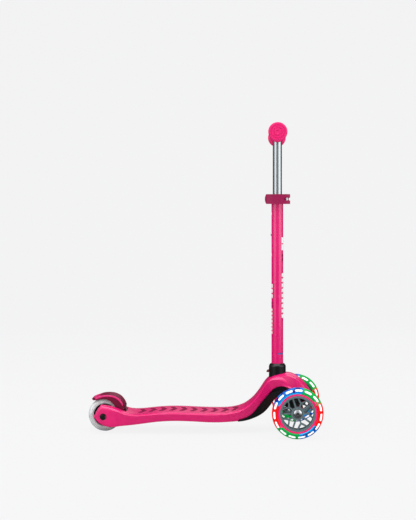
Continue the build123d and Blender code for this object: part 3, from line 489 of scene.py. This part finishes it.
def lathe_y(name, profile, hub, material, body, steps=128, smooth_deg=40.0):
    """Turns a closed profile of (y, radius) in metres about the Y axis through hub."""
    loops = []
    for step in range(steps):
        turn = 2 * pi * step / steps
        loops.append([(hub[0] + r * sin(turn), y, hub[2] + r * cos(turn)) for y, r in profile])
    verts, faces = skin_loops(loops, close_run=True)
    return new_piece(name, verts, faces, material, body, smooth_deg)


def cubic_line(points, samples):
    """Natural cubic through the points, sampled evenly by chord length. Works in any number of axes."""
    spans = [sqrt(sum((b - a) ** 2 for a, b in zip(p, q))) for p, q in zip(points, points[1:])]
    knots = [0.0]
    for span in spans:
        knots.append(knots[-1] + span)
    axes = []
    size = len(points)
    for axis in range(len(points[0])):
        y = [p[axis] for p in points]
        slopes = [0.0] * size
        upper, right = [0.0] * size, [0.0] * size
        for i in range(1, size - 1):
            a, b = spans[i - 1], spans[i]
            rhs = 6 * ((y[i + 1] - y[i]) / b - (y[i] - y[i - 1]) / a)
            pivot = 2 * (a + b) - a * upper[i - 1]
            upper[i] = b / pivot
            right[i] = (rhs - a * right[i - 1]) / pivot
        for i in range(size - 2, 0, -1):
            slopes[i] = right[i] - upper[i] * slopes[i + 1]
        axes.append((y, slopes))
    line = []
    span_index = 0
    for step in range(samples + 1):
        at = knots[-1] * step / samples
        while span_index < size - 2 and at > knots[span_index + 1]:
            span_index += 1
        h = spans[span_index]
        s = (at - knots[span_index]) / h
        point = []
        for y, m in axes:
            a, b = y[span_index], y[span_index + 1]
            ma, mb = m[span_index], m[span_index + 1]
            bend = ((1 - s) ** 3 - (1 - s)) * ma + (s ** 3 - s) * mb
            point.append((1 - s) * a + s * b + h * h / 6 * bend)
        line.append(tuple(point))
    return line


def height_along(line):
    """Function giving the second coordinate of a line at a first coordinate."""
    line = sorted(line)

    def read(x):
        if x <= line[0][0]:
            return line[0][1]
        for (x0, z0), (x1, z1) in zip(line, line[1:]):
            if x <= x1:
                share = (x - x0) / (x1 - x0) if x1 > x0 else 0.0
                return z0 + (z1 - z0) * share
        return line[-1][1]

    return read


def ease(x, start, end):
    """0 before start, 1 after end, smooth between."""
    s = min(max((x - start) / (end - start), 0.0), 1.0)
    return s * s * (3 - 2 * s)


# ---------------------------------------------------------------- deck shell (millimetres inside)
deck_top = height_along(cubic_line([
    (-249, 67), (-211, 58.5), (-188, 49), (-160, 46.5), (-120, 50), (-80, 52), (-30, 50.5),
    (30, 49), (65, 51.5), (92, 60), (118, 80), (138, 107), (156, 129), (176, 138), (198, 141),
    (216, 136.5), (233, 125), (250, 105), (262, 84), (274, 62)], 900))
deck_under = height_along(cubic_line([
    (257, 64), (240, 84), (220, 99), (200, 108), (183, 111.5), (165, 104), (146, 80.5), (131, 61),
    (116, 42.5), (98, 33), (62, 28), (23, 27), (-15, 28.8), (-60, 30.6), (-110, 28.8), (-168, 21),
    (-208, 16.4), (-230, 16), (-252, 23.5)], 900))
deck_half = height_along(cubic_line([
    (-266, 43), (-242, 47), (-205, 49.5), (-160, 54.5), (-100, 57), (0, 57), (60, 53.5), (100, 47),
    (140, 41.5), (168, 40), (192, 43), (220, 48), (240, 46), (256, 35), (262.5, 20), (265, 0)], 900))
arm_back_x, arm_top_x, arm_low_x = -266.0, -248.5, -249.0
arm_tip_z = 40.0
slot_x, wall_x = -190.0, -182.0
slot_half = 26.0
skin = 3.5
nose_tip_x = 264.6


def arm_end(x, z, corner_x, corner_z):
    """Height of the chamfered arm end, which runs from the tip to a corner."""
    if x >= corner_x:
        return z
    share = (x - arm_back_x) / (corner_x - arm_back_x)
    rounding = 1 - (1 - share) ** 1.35
    return arm_tip_z + (corner_z - arm_tip_z) * rounding


def deck_section(x, kind):
    """Half section at x: (y, z) points from the middle of the top, round the edge and back inside."""
    top = arm_end(x, deck_top(x), arm_top_x, deck_top(arm_top_x))
    low = arm_end(x, deck_under(x), arm_low_x, deck_under(arm_low_x))
    half = deck_half(x)
    slope = (deck_top(x + 1) - deck_top(x - 1)) / 2
    stretch = min(sqrt(1 + slope * slope), 2.4)
    nose = ease(x, 146, 206)
    arm = ease(-x, 198, 226)
    height = max(top - low, 1.0)
    inner = slot_half if kind == "arm" else 0.0
    flare = 7.0 * ease(x, 168, 222) * ease(-x, -262, -236)
    width = half - flare
    drop = min((6.2 + 3.0 * arm) * stretch * (1 - nose) + 0.78 * height * nose, 0.80 * height)
    if not nose:
        drop = min(drop, 0.48 * height)
    run = 13.0 - 3.0 * arm + (width - 15.0) * nose
    run = max(min(run, width - inner - 1.0), 0.2)
    crown = 0.7 * (1 - arm)
    end_angle = radians(26 * (1 - arm) * (1 - nose) + 4 * (1 - nose))
    points = []
    flat = width - run
    for i in range(8):
        y = inner + (flat - inner) * i / 8
        points.append((y, top - crown * (y / width) ** 2))
    edge_top = top - crown * (flat / width) ** 2
    for i in range(11):
        a = radians(90) + (end_angle - radians(90)) * i / 10
        points.append((flat + run * cos(a), edge_top - drop + drop * sin(a)))
    side_y, side_z = points[-1]
    tuck = 4.6 * (1 - arm) * (1 - nose)
    lip = min(2.0, 0.2 * height)
    for i in range(1, 7):
        s = i / 6
        y = side_y - tuck * s + (half - side_y) * ease(x, 168, 222) * s ** 2.4
        points.append((y, side_z + (low + lip - side_z) * s))
    low_y = points[-1][0]
    points.append((low_y - 0.4 * lip, low + 0.3 * lip))
    points.append((low_y - lip, low))
    if kind == "channel":
        wall = max(low_y - lip - 2.0, 0.0)
        roof = top - skin * stretch
        roof = max(roof, low + 0.5)
        corner = min(4.0, wall, roof - low)
        points.append((wall, low))
        points.append((wall, low + (roof - low) * 0.4))
        points.append((max(wall - 0.6, 0), roof - corner))
        points.append((max(wall - corner * 0.3, 0), roof - corner * 0.3))
        points.append((max(wall - corner, 0), roof))
        for i in range(1, 5):
            points.append((max(wall - corner, 0) * (1 - i / 4), roof))
    else:
        start = low_y - lip
        for i in range(1, 10):
            points.append((start + (inner - start) * i / 9, low))
    return points


def build_deck():
    stations = [(arm_back_x + 17 * (i / 14) ** 1.5, "arm") for i in range(15)]
    stations += [(x, "arm") for x in range(-246, int(slot_x), 3)]
    stations += [(slot_x, "arm"), (slot_x, "solid"), (wall_x, "solid"), (wall_x, "channel")]
    stations += [(x, "channel") for x in range(int(wall_x) + 2, 236, 3)]
    nose_steps = 16
    for i in range(nose_steps + 1):
        s = sin(radians(90) * i / nose_steps)
        stations.append((236 + (nose_tip_x - 236) * s, "channel"))
    half_loops = [deck_section(x, kind) for x, kind in stations]
    verts, faces = [], []
    for mirror in (1, -1):
        base = len(verts)
        count = len(half_loops[0])
        for (x, kind), loop in zip(stations, half_loops):
            verts += [(x * MM, mirror * y * MM, z * MM) for y, z in loop]
        for row in range(len(stations) - 1):
            a, b = base + row * count, base + (row + 1) * count
            both_arm = stations[row][1] == "arm" and stations[row + 1][1] == "arm"
            for i in range(count if both_arm else count - 1):
                j = (i + 1) % count
                faces.append((a + i, a + j, b + j, b + i))
        faces.append(tuple(base + i for i in range(count)))
        end = base + (len(stations) - 1) * count
        faces.append(tuple(end + i for i in range(count)))
    deck = new_piece("deck_shell", verts, faces, "pink_shell", "deck_frame", 32)
    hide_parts("deck")
    return deck


def build_inlays():
    """Raised raspberry chevrons that follow the curve of the standing surface."""
    count, pitch, first_x = 10, 25.0, -162.0
    half, width, sweep, rise = 27.0, 10.0, 9.0, 0.45
    rows, cols = 24, 5
    verts, faces = [], []
    for number in range(count):
        base = len(verts)
        for row in range(rows + 1):
            y = -half + 2 * half * row / rows
            back = first_x + number * pitch + sweep * (1 - abs(y) / half)
            for col in range(-1, cols + 2):
                share = min(max(col, 0), cols) / cols
                x = back + width * share
                lift = -0.8 if col in (-1, cols + 1) else rise
                edge = 0.0 if row in (0, rows) else 1.0
                z = deck_top(x) - 0.7 * (y / deck_half(x)) ** 2
                verts.append((x * MM, y * MM, (z + (lift if edge else min(lift, 0.1))) * MM))
        span = cols + 3
        for row in range(rows):
            for col in range(span - 1):
                a = base + row * span + col
                faces.append((a, a + 1, a + span + 1, a + span))
    piece = new_piece("standing_inlays", verts, faces, "raspberry_inlay", "deck_frame")
    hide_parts("grip_inlays")


def build_pips():
    """A row of small raised pips along both edges of the standing surface and up the neck."""
    verts, faces = [], []
    ring, spacing = 8, 3.4
    for side in (-1, 1):
        x = -180.0
        while x < 150:
            slope = (deck_top(x + 1) - deck_top(x - 1)) / 2
            along = 1 / sqrt(1 + slope * slope)
            y = side * (deck_half(x) - 11.0)
            z = deck_top(x) - 0.75 / along
            base = len(verts)
            for radius, lift in ((1.35, -0.5), (1.15, 0.45), (0.6, 0.75)):
                for i in range(ring):
                    a = 2 * pi * i / ring
                    shift = radius * cos(a)
                    px = x + (shift - lift * slope) * along
                    pz = z + (shift * slope + lift) * along
                    verts.append((px * MM, (y + radius * sin(a)) * MM, pz * MM))
            for row in (0, ring):
                for i in range(ring):
                    j = (i + 1) % ring
                    faces.append((base + row + i, base + row + j, base + row + ring + j,
                                  base + row + ring + i))
            faces.append(tuple(base + 2 * ring + i for i in range(ring)))
            x += spacing * along
    new_piece("deck_pips", verts, faces, "raspberry_inlay", "deck_frame")


def build_arm_recesses():
    """Black cups round the rear axle's heads on the outer faces of the arms: the heads' own black, with the
    shade inside the recesses round them painted in as the same black.
    """
    for side, nut in ((-1, "bolt"), (1, "nut")):
        face = deck_half(rear_hub.x / MM)
        profile = [(face - 0.4, 8.2), (face + 0.8, 7.9), (face + 1.0, 7.4), (face + 0.75, 6.9)]
        profile += [(face + 0.45, 5.6), (face + 0.85, 5.0), (face + 0.9, 3.2), (face + 0.5, 2.9)]
        profile += [(face + 0.5, 0.01), (face - 0.4, 0.01)]
        ring = [(side * y * MM, r * MM) for y, r in profile]
        # one black disc over the whole recess: the black head, plus painted shade for the recess walls
        # round it
        lathe_y(f"axle_cup_{nut}", ring, rear_hub, "black_plastic", "deck_frame", 48)


def build_arch_liner():
    """Black liner that closes the neck and nose from below and hides the steering parts."""
    verts, faces = [], []
    for side in (-1, 1):
        base = len(verts)
        spots = list(range(158, 254, 4))
        for x in spots:
            top = deck_under(x) + 4.0
            drop = 12.0 * ease(-x, -206, -190) + 4.0
            y = side * (deck_half(x) - 12.0)
            verts += [(x * MM, y * MM, top * MM), (x * MM, y * MM, (deck_under(x) - drop) * MM)]
        for i in range(len(spots) - 1):
            a = base + 2 * i
            faces.append((a, a + 1, a + 3, a + 2))
    count = len(spots)
    for i in range(count - 1):
        a, b = 2 * i + 1, 2 * count + 2 * i + 1
        faces.append((a, a + 2, b + 2, b))
    new_piece("arch_liner", verts, faces, "black_plastic", "deck_frame")


pivot = Vector((212.0, 0.0, 75.0))
pivot_lean = radians(50)
pivot_axis = Vector((cos(pivot_lean), 0.0, sin(pivot_lean)))
pivot_across = Vector((sin(pivot_lean), 0.0, -cos(pivot_lean)))


def build_steering_boot():
    """Pleated black boot under the nose, round the steering pivot and its bumpers."""
    loops = []
    folds = 3
    for step in range(4 * folds + 1):
        rise = 9.4 + 15.0 * step / (4 * folds)
        pleat = 1.0 - 0.035 * (1 - cos(pi * step / 2)) / 2 - 0.06 * step / (4 * folds)
        loop = []
        for i in range(56):
            a = 2 * pi * i / 56
            across = abs(cos(a)) ** 0.45 * (1 if cos(a) > 0 else -1)
            wide = abs(sin(a)) ** 0.45 * (1 if sin(a) > 0 else -1)
            point = pivot + pivot_axis * rise + pivot_across * (6.0 + 23.0 * pleat * across)
            loop.append((point.x * MM, 36.0 * pleat * wide * MM, point.z * MM))
        loops.append(loop)
    verts, faces = skin_loops(loops, cap_start=True, cap_end=True)
    new_piece("steering_boot", verts, faces, "black_rubber", "deck_frame", 35)


# ---------------------------------------------------------------- brake
brake_line = cubic_line([(-272.7, 80), (-262, 84), (-250, 88), (-236, 89.5), (-220, 87.5),
                         (-208, 81.5), (-199.5, 72.5), (-195.4, 64)], 60)


brake_rim_half = 25.0
brake_rim_drop = 2.9
brake_dish = 1.1
tyre_room_half = 19.5
thin_over_tyre = 0.2


def build_brake_rim():
    """Raised rim over the top of the foot brake, thicker and rounded at the tail, in the brake's raspberry
    painted lighter: painted light for the top that faces the overhead light.
    """
    loops = []
    count = len(brake_line)
    for i, (x, z) in enumerate(brake_line):
        (x0, z0), (x1, z1) = brake_line[max(i - 1, 0)], brake_line[min(i + 1, count - 1)]
        length = sqrt((x1 - x0) ** 2 + (z1 - z0) ** 2)
        up_x, up_z = -(z1 - z0) / length, (x1 - x0) / length
        from_tail = i / (count - 1)
        round_off = sqrt(min(from_tail / 0.05, 1.0)) * sqrt(min((1 - from_tail) / 0.06, 1.0))
        thick = (3.4 + 1.0 * (1 - ease(from_tail, 0.0, 0.35))) * max(round_off, 0.12)
        half = brake_rim_half - 2.2 * (1 - ease(from_tail, 0.0, 0.16))
        loop = []
        for j in range(28):
            a = 2 * pi * j / 28
            wide = abs(cos(a)) ** 0.28 * (1 if cos(a) > 0 else -1)
            lift = abs(sin(a)) ** 0.6 * (1 if sin(a) > 0 else -1)
            y = half * wide
            dish = -brake_dish * (1 - (y / half) ** 2) if lift > 0 else 0.0
            over_tyre = lift < 0 and abs(y) < tyre_room_half
            away = thick * lift * (thin_over_tyre if over_tyre else 1.0) - brake_rim_drop + dish
            loop.append(((x + up_x * away) * MM, y * MM, (z + up_z * away) * MM))
        loops.append(loop)
    verts, faces = skin_loops(loops, cap_start=True, cap_end=True)
    # the rim takes the lighter raspberry copy, painted light for the lit top
    new_piece("brake_rim", verts, faces, "raspberry_painted_light", "brake_lever", 40)


# ---------------------------------------------------------------- wheels
bolt_hex_rings = ((126.1, 2.6), (126.9, 2.65))     # (distance from the centre plane, radius)


def build_bolt_hexes():
    """Dark floors of the hexagon sockets in the front axle bolts: painted shade for the depth of the
    sockets.
    """
    verts, faces = [], []
    hub = front_hub["right"]
    for side in (-1, 1):
        base = len(verts)
        for depth, r in bolt_hex_rings:
            for i in range(6):
                a = radians(60 * i)
                verts.append((hub.x + r * cos(a) * MM, side * depth * MM, hub.z + r * sin(a) * MM))
        faces.append(tuple(base + i for i in range(6)))
        for i in range(6):
            j = (i + 1) % 6
            faces.append((base + i, base + j, base + 6 + j, base + 6 + i))
    # flat dark hexagons: painted shade inside the bolt sockets
    new_piece("bolt_hexes", verts, faces, "painted_pocket_shade", "front_truck", 30)


tyre_shape_r = 12.0
tyre_shape_seat = 46.25


def tyre_surface(phi):
    """(offset from the mid-plane, radius) on the tyre's round outside; phi 0 is the crown."""
    return tyre_shape_r * sin(phi), front_r / MM - tyre_shape_r + tyre_shape_r * cos(phi)


def build_front_tyre(side):
    hub = front_hub[side]
    profile = [tyre_surface(radians(-92 + 184 * i / 28)) for i in range(29)]
    profile += [(10.4, tyre_shape_seat), (6.8, tyre_shape_seat), (6.8, 48.7)]
    profile += [(-6.8, 48.7), (-6.8, tyre_shape_seat), (-10.4, tyre_shape_seat)]
    ring = [(hub.y + y * MM, r * MM) for y, r in profile]
    piece = lathe_y(f"{side}_wheel_tyre", ring, hub, f"{side}_lit_tyre", f"{side}_wheel",
                    160, 30)
    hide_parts(f"{side}_tyre")


def build_windows(side):
    """Fifteen clear windows on each face of the tyre that let the white light out."""
    hub = front_hub[side]
    verts, faces = [], []
    half_long, half_wide = 8.7, 2.4
    columns, rows = 16, 4
    for face in (-1, 1):
        for number in range(15):
            middle = radians(2.4 + 24 * number)
            base = len(verts)
            for lift in (0.16, -0.3):
                for col in range(columns + 1):
                    along = -half_long + 2 * half_long * col / columns
                    over = max(abs(along) - (half_long - half_wide), 0.0)
                    reach = sqrt(max(half_wide ** 2 - over ** 2, 0.0))
                    for row in range(rows + 1):
                        across = reach * (2 * row / rows - 1)
                        phi = radians(58) + across / tyre_shape_r
                        y, r = tyre_surface(phi)
                        y += lift * sin(phi)
                        r += lift * cos(phi)
                        turn = middle + along / 54.9
                        verts.append((hub.x + r * sin(turn) * MM, hub.y + face * y * MM,
                                      hub.z + r * cos(turn) * MM))
            span = rows + 1
            layer = (columns + 1) * span
            for col in range(columns):
                for row in range(rows):
                    a = base + col * span + row
                    faces.append((a, a + 1, a + span + 1, a + span))
                for row in (0, rows):
                    a = base + col * span + row
                    faces.append((a, a + span, a + span + layer, a + layer))
    new_piece(f"{side}_wheel_windows", verts, faces, "window_white", f"{side}_wheel", 50)


def build_trim_tabs(side):
    """Two small tabs that reach from the trim ring on to the tyre."""
    hub = front_hub[side]
    out = outward[side]
    verts, faces = [], []
    for middle_deg in (58, 234):
        middle = radians(middle_deg)
        base = len(verts)
        for share, wide in ((0.0, 4.6), (0.4, 4.3), (0.85, 3.6), (1.0, 2.6)):
            r = 45.4 + 6.0 * share
            for offset in (11.97, 10.6):
                for across in (-wide, -wide * 0.5, wide * 0.5, wide):
                    turn = middle + across / r
                    y = hub.y + out * offset * MM
                    verts.append((hub.x + r * sin(turn) * MM, y, hub.z + r * cos(turn) * MM))
        for row in range(3):
            a = base + row * 8
            for i in range(3):
                faces.append((a + i, a + i + 1, a + i + 9, a + i + 8))
            faces.append((a, a + 4, a + 12, a + 8))
            faces.append((a + 3, a + 7, a + 15, a + 11))
        for row in (0, 3):
            a = base + row * 8
            faces.append((a, a + 1, a + 2, a + 3, a + 7, a + 6, a + 5, a + 4))
    new_piece(f"{side}_trim_tabs", verts, faces, "pink_trim", f"{side}_wheel")


def build_rear_tyre():
    """Clear grey tyre with a ring of small pockets showing through each side; the pockets are flat dark
    discs, painted shade for their hollows.
    """
    half, edge = 18.0, rear_r / MM
    profile = []
    for i in range(13):
        a = radians(90 * i / 12)
        profile.append((half - 10 + 10 * sin(a), edge - 10 + 10 * cos(a)))
    outline = [(-y, r) for y, r in reversed(profile)] + profile
    outline += [(half - 0.6, 29.0), (half - 2.0, 27.1), (-half + 2.0, 27.1), (-half + 0.6, 29.0)]
    ring = [(rear_hub.y + y * MM, r * MM) for y, r in outline]
    piece = lathe_y("rear_wheel_tyre", ring, rear_hub, "clear_tyre", "rear_wheel", 128, 35)
    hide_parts("rear_tyre")
    verts, faces = [], []
    for face in (-1, 1):
        for number in range(48):
            turn = 2 * pi * number / 48
            base = len(verts)
            for i in range(8):
                a = 2 * pi * i / 8
                r = 32.6 + 0.75 * cos(a)
                t = turn + 0.75 * sin(a) / 32.6
                verts.append((rear_hub.x + r * sin(t) * MM, face * 17.72 * MM,
                              rear_hub.z + r * cos(t) * MM))
            verts.append((rear_hub.x + 32.6 * sin(turn) * MM, face * 17.98 * MM,
                          rear_hub.z + 32.6 * cos(turn) * MM))
            for i in range(8):
                faces.append((base + i, base + (i + 1) % 8, base + 8))
    # flat dark discs: painted shade standing in for the pockets' hollows
    new_piece("rear_tyre_pockets", verts, faces, "painted_pocket_shade", "rear_wheel")


# ---------------------------------------------------------------- grips
def build_grip(side):
    """Soft grip: ribbed barrel between two flanges, with stepped rings in its closed end."""
    out = outward[side]
    low, high = node_box(f"{side}_grip")
    centre = (low + high) / 2
    end = (high.y if out > 0 else -low.y) / MM
    inner = (low.y if out > 0 else -high.y) / MM
    flange, barrel = 22.5, 15.5
    outline = [(inner, 11.2), (inner, 18.2), (inner + 0.8, 19.3), (inner + 2.6, 19.5)]
    outline += [(inner + 4.2, 18.9), (inner + 6.0, barrel + 0.6), (inner + 8.0, barrel)]
    first, last = inner + 11, end - 13
    ribs = 11
    for number in range(ribs):
        at = first + (last - first) * number / (ribs - 1)
        for shift, lift in ((-1.9, 0.0), (-1.3, 0.75), (1.3, 0.75), (1.9, 0.0)):
            outline.append((at + shift, barrel + lift - 0.45))
    outline += [(end - 9.5, barrel + 0.4), (end - 7.4, flange - 2.6), (end - 6.0, flange - 0.5)]
    outline += [(end - 4.6, flange), (end - 2.4, flange), (end - 0.9, flange - 0.6)]
    outline += [(end - 0.15, flange - 2.0), (end, flange - 3.4)]
    for r in (15.6, 9.6):
        outline += [(end, r + 1.4), (end - 0.9, r + 0.9), (end - 0.9, r - 0.9), (end, r - 1.4)]
    outline += [(end, 4.0), (end - 0.7, 3.2), (end - 0.7, 0.01), (end - 3.7, 0.01), (end - 3.7, 11.2)]
    ring = [(out * y * MM, r * MM) for y, r in outline]
    piece = lathe_y(f"{side}_soft_grip", ring, centre, "pink_rubber", "bar", 96, 30)
    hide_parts(f"{side}_grip")


# ---------------------------------------------------------------- marks on the tube
def build_tube_marks():
    """Plain white dashes on the front and back of the column and a small blue band at its foot."""
    r = tube_r / MM + 0.2
    cx = column_centre.x

    def patch(verts, faces, angle, half_angle, low, high):
        base = len(verts)
        cols, rows = 20, 1
        for row in range(rows + 1):
            z = low + (high - low) * row / rows
            for col in range(cols + 1):
                a = angle + half_angle * (2 * col / cols - 1)
                verts.append((cx + r * cos(a) * MM, r * sin(a) * MM, z * MM))
        span = cols + 1
        for row in range(rows):
            for col in range(cols):
                a = base + row * span + col
                faces.append((a, a + 1, a + span + 1, a + span))

    verts, faces = [], []
    dashes = [(438.0, 2, 17.0, 14.0, 0, 46), (274.0, 9, 12.4, 8.6, 0, 44)]
    dashes += [(322.0, 3, 12.4, 9.0, 180, 38), (235.0, 7, 9.2, 6.0, 180, 34)]
    for low, count, pitch, length, angle, spread in dashes:
        for number in range(count):
            start = low + number * pitch
            patch(verts, faces, radians(angle), radians(spread), start, start + length)
    new_piece("tube_dashes", verts, faces, "mark_white", "column")
    verts, faces = [], []
    for low, high, angle in ((412, 428, 0), (300.5, 311, 180)):
        middle = (low + high) / 2
        for start, end in ((low, middle - 1.6), (middle + 1.6, high)):
            patch(verts, faces, radians(angle), radians(40), start, end)
    new_piece("tube_blocks", verts, faces, "raspberry_inlay", "column")
    verts, faces = [], []
    patch(verts, faces, radians(-52), radians(30), 185.4, 188.9)
    new_piece("tube_band", verts, faces, "mark_blue", "column")


# ---------------------------------------------------------------- carried-over nodes
def finish_cad_nodes():
    """Gives every shown CAD node its material, and softens the edges of the moulded ones."""
    slots = {row["node"]: row["material_slot"] for row in frame["record"]["subparts"]}
    bevelled = {
        "clamp_collar": 0.6, "clamp_lever": 1.1, "brake": 1.3, "release_button": 0.4,
        "right_core": 0.45, "left_core": 0.45, "truck": 0.0, "socket_cap": 0.4,
    }
    for name, piece in frame["nodes"].items():
        slot = slots[name]
        # the brake body takes the darker raspberry copy, painted shade for its side walls under the rim
        material = "raspberry_painted_shade" if name == "brake" else slot
        if slot == "lit_tyre":
            material = f"{name.split('_')[0]}_lit_tyre"
        piece.data.materials.clear()
        piece.data.materials.append(materials[material])
        width = bevelled.get(name, 0.0)
        if width:
            bevel = piece.modifiers.new("soft_edges", "BEVEL")
            bevel.width = width * MM
            bevel.segments = 3
            bevel.limit_method = "ANGLE"
            bevel.angle_limit = radians(35)
            bevel.harden_normals = False


bpy.context.scene.view_settings.view_transform = "Standard"
add_camera()
add_stage()
finish_cad_nodes()
build_deck()
build_inlays()
build_pips()
build_arm_recesses()
build_arch_liner()
build_steering_boot()
build_brake_rim()
build_bolt_hexes()
for wheel_side in ("right", "left"):
    build_front_tyre(wheel_side)
    build_windows(wheel_side)
    build_trim_tabs(wheel_side)
    build_grip(wheel_side)
build_rear_tyre()
build_tube_marks()
